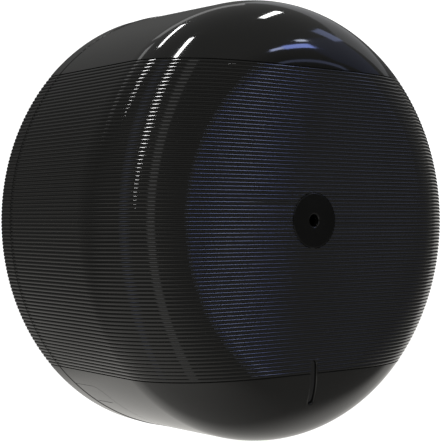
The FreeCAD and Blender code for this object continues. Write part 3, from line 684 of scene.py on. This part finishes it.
def polished_plastic(name, dark, light, rough_low, rough_high, ior):
    """A deep gloss with flow haze and orange peel."""
    material, tree, shader, place = new_finish(name)
    flow = add(tree, "ShaderNodeTexNoise", {"Vector": place, "Scale": per_metre(FLOW_MM), "Detail": 3})
    peel = add(tree, "ShaderNodeTexNoise", {"Vector": place, "Scale": per_metre(PEEL_MM), "Detail": 1})
    haze = add(tree, "ShaderNodeMapRange", {
        "Value": flow, **CLOUD_SPAN, "To Min": rough_low, "To Max": rough_high})
    tint = add(tree, "ShaderNodeMix", {
        "Factor": flow, "A": linear(dark), "B": linear(light)}, data_type="RGBA")
    skin = add(tree, "ShaderNodeBump", {"Height": peel, "Strength": PEEL_STRENGTH, "Distance": PEEL_DEPTH})
    fill(tree, shader, {"Base Color": tint, "Roughness": haze, "Normal": skin, "IOR": ior})
    return material


shell_finish = polished_plastic(
    "polished_black_abs", dark="#090908", light="#0e0e0d", rough_low=0.05, rough_high=0.09, ior=1.53
)
nozzle_finish = polished_plastic(
    "moulded_black_acetal", dark="#040404", light="#070706", rough_low=0.16, rough_high=0.24, ior=1.48
)
lens_finish = polished_plastic(
    "smoked_polycarbonate", dark="#060607", light="#0b0b0c", rough_low=0.06, rough_high=0.12, ior=1.58
)
print("polished:", shell_finish.name, nozzle_finish.name, lens_finish.name)

# %% [markdown]
# The mouldings inside come from a spark-eroded tool, which leaves a fine satin grain. The seal is
# moulded rubber, softer in its shine. The grain of both is drawn coarser than life, so that it shows.

# %% Satin mouldings and rubber
PATCH_MM = 12
GRAIN_DEPTH = 0.02 * MM
GRAIN_STRENGTH = 0.5
GRAIN_SPREAD = 0.06
PLASTIC_IOR = 1.5


def grained_plastic(name, dark, light, grain_mm, rough):
    """A fine grain that scatters the light."""
    material, tree, shader, place = new_finish(name)
    grain = add(tree, "ShaderNodeTexNoise", {"Vector": place, "Scale": per_metre(grain_mm), "Detail": 4})
    patch = add(tree, "ShaderNodeTexNoise", {"Vector": place, "Scale": per_metre(PATCH_MM), "Detail": 2})
    satin = add(tree, "ShaderNodeMapRange", {
        "Value": grain, **CLOUD_SPAN, "To Min": rough - GRAIN_SPREAD, "To Max": rough + GRAIN_SPREAD})
    tint = add(tree, "ShaderNodeMix", {
        "Factor": patch, "A": linear(dark), "B": linear(light)}, data_type="RGBA")
    skin = add(tree, "ShaderNodeBump", {
        "Height": grain, "Strength": GRAIN_STRENGTH, "Distance": GRAIN_DEPTH})
    fill(tree, shader, {"Base Color": tint, "Roughness": satin, "Normal": skin, "IOR": PLASTIC_IOR})
    return material


inner_finish = grained_plastic(
    "satin_grey_abs", dark="#47494b", light="#505254", grain_mm=0.9, rough=0.42
)
rubber_finish = grained_plastic(
    "nitrile_rubber", dark="#151515", light="#1b1b1a", grain_mm=0.6, rough=0.8
)
print("grained:", inner_finish.name, rubber_finish.name)

# %% [markdown]
# The metal pieces differ in how they were worked: rolled steel has long lines, zinc plating has
# small crystals, and chrome is polished before it is plated. The three sizes of the grain, along x,
# y and z, make the lines long or round.

# %% Metals
LINE_DEPTH = 0.01 * MM
LINE_STRENGTH = 0.2
GLOSS_LOW, GLOSS_HIGH = 0.75, 1.25


def worked_metal(name, dark, light, rough, grain_mm):
    """A metal whose colour, gloss and surface follow its grain."""
    material, tree, shader, place = new_finish(name)
    drawn = add(tree, "ShaderNodeMapping", {
        "Vector": place, "Scale": tuple(per_metre(size) for size in grain_mm)})
    lines = add(tree, "ShaderNodeTexNoise", {"Vector": drawn, "Scale": 1, "Detail": 5})
    gloss = add(tree, "ShaderNodeMapRange", {
        "Value": lines, **CLOUD_SPAN, "To Min": GLOSS_LOW * rough, "To Max": GLOSS_HIGH * rough})
    tint = add(tree, "ShaderNodeMix", {
        "Factor": lines, "A": linear(dark), "B": linear(light)}, data_type="RGBA")
    skin = add(tree, "ShaderNodeBump", {
        "Height": lines, "Strength": LINE_STRENGTH, "Distance": LINE_DEPTH})
    fill(tree, shader, {"Base Color": tint, "Roughness": gloss, "Normal": skin, "Metallic": 1})
    return material


steel_finish = worked_metal(
    "rolled_stainless_steel", dark="#a9abad", light="#c6c8c9", rough=0.28, grain_mm=(6.0, 0.5, 0.5)
)
zinc_finish = worked_metal(
    "zinc_plated_steel", dark="#9fa3a8", light="#c3c6c9", rough=0.34, grain_mm=(1.2, 1.2, 1.2)
)
chrome_finish = worked_metal(
    "chromed_brass", dark="#cfd1d3", light="#dcdee0", rough=0.1, grain_mm=(2.0, 2.0, 2.0)
)
print("metals:", steel_finish.name, zinc_finish.name, chrome_finish.name)

# %% [markdown]
# ## Each piece gets its finish
# A modelled piece rides on the CAD body that holds its node, and takes the place of that node, which
# is hidden. Every piece gets the finish of its node's material slot in the record. The other CAD
# nodes stay and get the finish.

# %% Finish, ride and replace
SLOT_FINISHES = {
    "shell_black": shell_finish,
    "smoked_lens": lens_finish,
    "nozzle_black": nozzle_finish,
    "inner_grey": inner_finish,
    "bright_steel": steel_finish,
    "zinc": zinc_finish,
    "lock_chrome": chrome_finish,
    "seal_rubber": rubber_finish,
}
modelled = {"front_cover": cover, "back_plate": wall_plate, "nozzle_cone": nozzle}
slot_of = {row["node"]: row["material_slot"] for row in frame["record"]["subparts"]}
bodies = frame["record"]["behaviour"]["bodies"]
body_of = {node: body for body, members in bodies.items() for node in members}
for node, slot in slot_of.items():
    piece = modelled.get(node, nodes[node])
    piece.data.materials.clear()
    piece.data.materials.append(SLOT_FINISHES[slot])
for node, piece in modelled.items():
    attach(piece, body_of[node])
    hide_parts(node)
print("dressed:", len(slot_of), "modelled:", len(modelled))

# %% [markdown]
# ## Camera
# The photograph is taken level with the drum's axis, from the left of its front, with a long lens.

# %% Camera at the photograph's angle
VIEW_TURN = math.radians(-36.71)
CAMERA_PLACE = (-0.5011, -0.7152, 0)
LENS_MM = 91.78
SENSOR_MM = 36
bpy.ops.object.select_all(action="DESELECT")
bpy.ops.object.camera_add(location=CAMERA_PLACE, rotation=(math.pi / 2, 0, VIEW_TURN))
camera = named("camera")
camera.data.lens = LENS_MM
camera.data.sensor_width = SENSOR_MM
bpy.context.scene.camera = camera
bpy.context.scene.view_settings.view_transform = "Standard"
view_ahead = Vector((-math.sin(VIEW_TURN), math.cos(VIEW_TURN), 0))
view_right = Vector((view_ahead.y, -view_ahead.x, 0))
print("camera to the drum's axis in mm:", round(camera.location.length / MM))

# %% [markdown]
# ## Floor, backdrop and light
# A black gloss shows what stands round it more than its own colour. The floor and the backdrop are
# plain pale paper, and the floor lies low, so that the cover has room to swing down. A light table
# just below the object, which only reflections see, has a painted pool of light under and behind the
# object and a smaller one at its left; in front of the object the table stays dim, as a painted
# shadow of the object. Strips overhead, bluish panels to the sides and a dim world do the rest.
# A large fill from the front is hidden from reflections.


# %% Pale paper that shines where it is seen, and less near the object, to keep its shadow
PAPER_REACH = (0.6, 1.1)
PAPER_LEVELS = (0.8, 0.95)


def span(start_end):
    """The two ends of a soft step."""
    return {"From Min": start_end[0], "From Max": start_end[1]}


def pale_paper(name):
    """Matte paper with an own light for what the camera, the gloss and clear pieces see."""
    material = bpy.data.materials.new(name)
    material.use_nodes = True
    tree = material.node_tree
    tree.nodes.clear()
    path = add(tree, "ShaderNodeLightPath").outputs
    seen = add(tree, "ShaderNodeMath", {
        0: path["Is Camera Ray"], 1: path["Is Glossy Ray"]}, operation="MAXIMUM")
    seen = add(tree, "ShaderNodeMath", {0: seen, 1: path["Is Transmission Ray"]}, operation="MAXIMUM")
    place = add(tree, "ShaderNodeTexCoord").outputs["Object"]
    away = add(tree, "ShaderNodeVectorMath", {0: place}, operation="LENGTH")
    shine = add(tree, "ShaderNodeMapRange", {
        "Value": away, **span(PAPER_REACH), "To Min": PAPER_LEVELS[0], "To Max": PAPER_LEVELS[1]})
    level = add(tree, "ShaderNodeMath", {0: seen, 1: shine}, operation="MULTIPLY")
    matte = add(tree, "ShaderNodeBsdfDiffuse", {"Color": linear("#a8a8a6")})
    light = add(tree, "ShaderNodeEmission", {"Strength": level})
    both = add(tree, "ShaderNodeAddShader", {0: matte, 1: light})
    add(tree, "ShaderNodeOutputMaterial", {"Surface": both})
    return material


# %% Floor and backdrop
FLOOR_DROP = 0.2
FLOOR_Z = cad_low.z - FLOOR_DROP
STAGE_LEFT, STAGE_RIGHT, STAGE_FRONT, STAGE_REAR = -2.5, 3.0, -1.3, 3.0
BOARD_FAR, BOARD_HALF, BOARD_TOP = 2.0, 0.6, 0.62


def stage_sheet(name, places, material):
    """A sheet through four corners."""
    sheet = laid_grid(name, np.array(places))
    sheet.data.materials.append(material)
    return sheet


def level_places(height):
    """Corners of a level sheet."""
    return [[(STAGE_LEFT, y, height), (STAGE_RIGHT, y, height)] for y in (STAGE_FRONT, STAGE_REAR)]


stage_sheet("floor", level_places(FLOOR_Z), pale_paper("floor_paper"))
board_ends = [view_ahead * BOARD_FAR + view_right * BOARD_HALF * side for side in (-1, 1)]
board_places = [[(end.x, end.y, z) for end in board_ends] for z in (FLOOR_Z, BOARD_TOP)]
stage_sheet("backdrop", board_places, pale_paper("backdrop_paper"))
print("floor below the object in mm:", round(FLOOR_DROP / MM))

# %% The light table
TABLE_GAP = 0.5 * MM
TABLE_Z = cad_low.z - TABLE_GAP
TABLE_DIM = 0.2
POOL_TURN = math.radians(25)
# The next two edges cut the pool off in front of the object: the dim table beyond them is a painted shadow
# of the object.
PAINTED_SHADOW_EDGE = (-0.146, -0.106)
PAINTED_SHADOW_NEAR = (-0.172, -0.132)
POOL_LEFT = (-0.145, -0.095)
POOL_LEFT_LEVEL = 0.5
POOL_FAR_LEFT = (-0.42, -0.165)
POOL_REAR = (-0.02, 0.15)
POOL_LEVELS = (0.56, 0.86)
SIDE_POOL_PLACE = (-0.25, -0.17, TABLE_Z)
SIDE_POOL_EDGE = (0.09, 0.27)
SIDE_POOL_LEVEL = 0.54


def pools_of_light(tree):
    """A painted pool of light that grows towards the rear, cut off in front by a painted shadow of the
    object, and one at the left.
    """
    place = add(tree, "ShaderNodeTexCoord").outputs["Object"]
    depth = add(tree, "ShaderNodeSeparateXYZ", {0: place}).outputs["Y"]
    turned = add(tree, "ShaderNodeMapping", {"Vector": place, "Rotation": (0, 0, POOL_TURN)})
    axes = add(tree, "ShaderNodeSeparateXYZ", {0: turned}).outputs
    soft = {"interpolation_type": "SMOOTHSTEP"}
    pool = add(tree, "ShaderNodeMapRange", {
        "Value": axes["Y"], **span(POOL_REAR),
        "To Min": POOL_LEVELS[0], "To Max": POOL_LEVELS[1]}, **soft)
    for axis, start_end, low in (
            (axes["Y"], PAINTED_SHADOW_EDGE, 0),
            (depth, PAINTED_SHADOW_NEAR, 0),
            (axes["X"], POOL_LEFT, POOL_LEFT_LEVEL),
            (axes["X"], POOL_FAR_LEFT, 0)):
        edge = add(tree, "ShaderNodeMapRange", {"Value": axis, **span(start_end), "To Min": low}, **soft)
        pool = add(tree, "ShaderNodeMath", {0: pool, 1: edge}, operation="MULTIPLY")
    away = add(tree, "ShaderNodeVectorMath", {0: place, 1: SIDE_POOL_PLACE}, operation="DISTANCE")
    side = add(tree, "ShaderNodeMapRange", {
        "Value": away, **span(SIDE_POOL_EDGE), "To Min": SIDE_POOL_LEVEL, "To Max": 0}, **soft)
    both = add(tree, "ShaderNodeMath", {0: pool, 1: side}, operation="MAXIMUM")
    return add(tree, "ShaderNodeMath", {0: both, 1: TABLE_DIM}, operation="ADD")


glow = bpy.data.materials.new("table_glow")
glow.use_nodes = True
glow_tree = glow.node_tree
glow_tree.nodes.clear()
glow_light = add(glow_tree, "ShaderNodeEmission", {
    "Strength": pools_of_light(glow_tree), "Color": linear("#fffdf8")})
add(glow_tree, "ShaderNodeOutputMaterial", {"Surface": glow_light})
table = stage_sheet("light_table", level_places(TABLE_Z), glow)
table.visible_camera = False
table.visible_diffuse = False
table.visible_transmission = False
table.visible_shadow = False
print("light table below the object in mm:", round(TABLE_GAP / MM, 1))


# %% Lamps
def lamp(name, place, aim, size, radiance, colour="#ffffff", roll=0.0, mirrored=True):
    """A soft panel of a given radiance at a place, turned towards its aim."""
    bpy.ops.object.select_all(action="DESELECT")
    bpy.ops.object.light_add(type="AREA", location=place)
    panel = named(name)
    panel.rotation_euler = (Vector(aim) - Vector(place)).to_track_quat("-Z", "Y").to_euler()
    panel.rotation_euler.rotate_axis("Z", math.radians(roll))
    panel.data.shape = "RECTANGLE"
    panel.data.size, panel.data.size_y = size
    panel.data.energy = math.pi * size[0] * size[1] * radiance
    panel.data.color = linear(colour)[:3]
    panel.visible_glossy = mirrored
    panel.visible_camera = False


MIDDLE = Vector((0, -0.12, 0.08))
WALL_FAR = 2.5
CEILING = 2.0


def ceiling_strip(name, x, y, size, radiance, roll):
    """A strip lamp under the ceiling, facing down."""
    lamp(name, (x, y, CEILING), (x, y, 0), size, radiance, roll=roll)


def wall_panel(name, azimuth, elevation, size, radiance, colour="#ffffff"):
    """A panel that the drum's front sees at these angles; azimuth 0 is straight in front."""
    a, e = math.radians(azimuth), math.radians(elevation)
    way = Vector((math.sin(a) * math.cos(e), -math.cos(a) * math.cos(e), math.sin(e)))
    lamp(name, MIDDLE + WALL_FAR * way, MIDDLE, size, radiance, colour)


# %% Strips overhead
ceiling_strip("rear_strip", x=-0.03, y=1.08, size=(0.72, 0.085), radiance=26, roll=27.5)
ceiling_strip("top_strip", x=-0.41, y=-0.17, size=(0.62, 0.1), radiance=44, roll=37.7)
ceiling_strip("right_strip", x=1.07, y=0.10, size=(0.69, 0.11), radiance=22, roll=53)
ceiling_strip("far_strip", x=-0.29, y=1.61, size=(0.47, 0.22), radiance=1.0, roll=19.7)
print("strips:", len(bpy.data.lights))

# %% Side panels and the fill
wall_panel("blue_panel", azimuth=44.2, elevation=32, size=(0.37, 0.2), radiance=8.5, colour="#98acff")
wall_panel("pale_panel", azimuth=49.6, elevation=38, size=(0.16, 0.1), radiance=9, colour="#dfe8ff")
wall_panel("small_panel", azimuth=37, elevation=32, size=(0.16, 0.12), radiance=8, colour="#c6d2ff")
wall_panel("side_panel", azimuth=76.5, elevation=42, size=(0.4, 0.35), radiance=1.5, colour="#b9c8ff")
wall_panel("low_strip", azimuth=41.5, elevation=14.8, size=(0.5, 0.12), radiance=0.9, colour="#b9c8ff")
wall_panel("right_glow", azimuth=62, elevation=30, size=(1.2, 0.9), radiance=0.15, colour="#8ea6ff")
wall_panel("right_panel", azimuth=112, elevation=34, size=(2.2, 0.85), radiance=0.35, colour="#eef0f6")
wall_panel("rear_panel", azimuth=157, elevation=44, size=(1.1, 0.3), radiance=0.6)
wall_panel("left_panel", azimuth=-24, elevation=30, size=(0.45, 2.6), radiance=0.75)
wall_panel("far_left_panel", azimuth=-67, elevation=35, size=(0.4, 1.6), radiance=0.8, colour="#c8d4ff")
lamp("front_fill", place=(-1.0, -2.2, 0.25), aim=(0, -0.08, 0), size=(1.6, 1.6), radiance=7, mirrored=False)
print("lamps:", len(bpy.data.lights))

# %% Dim world, lighter overhead
WORLD_HEIGHTS = (0.1, 0.7)
WORLD_LEVELS = (0.06, 0.23)
world = bpy.data.worlds.new("dim_world")
bpy.context.scene.world = world
world.use_nodes = True
sky = world.node_tree
direction = add(sky, "ShaderNodeTexCoord").outputs["Generated"]
height = add(sky, "ShaderNodeSeparateXYZ", {0: direction}).outputs["Z"]
dim = add(sky, "ShaderNodeMapRange", {
    "Value": height, **span(WORLD_HEIGHTS),
    "To Min": WORLD_LEVELS[0], "To Max": WORLD_LEVELS[1]}, interpolation_type="SMOOTHSTEP")
fill(sky, sky.nodes["Background"], {"Strength": dim, "Color": linear("#fffffd")})
print("world light, low and high:", WORLD_LEVELS)
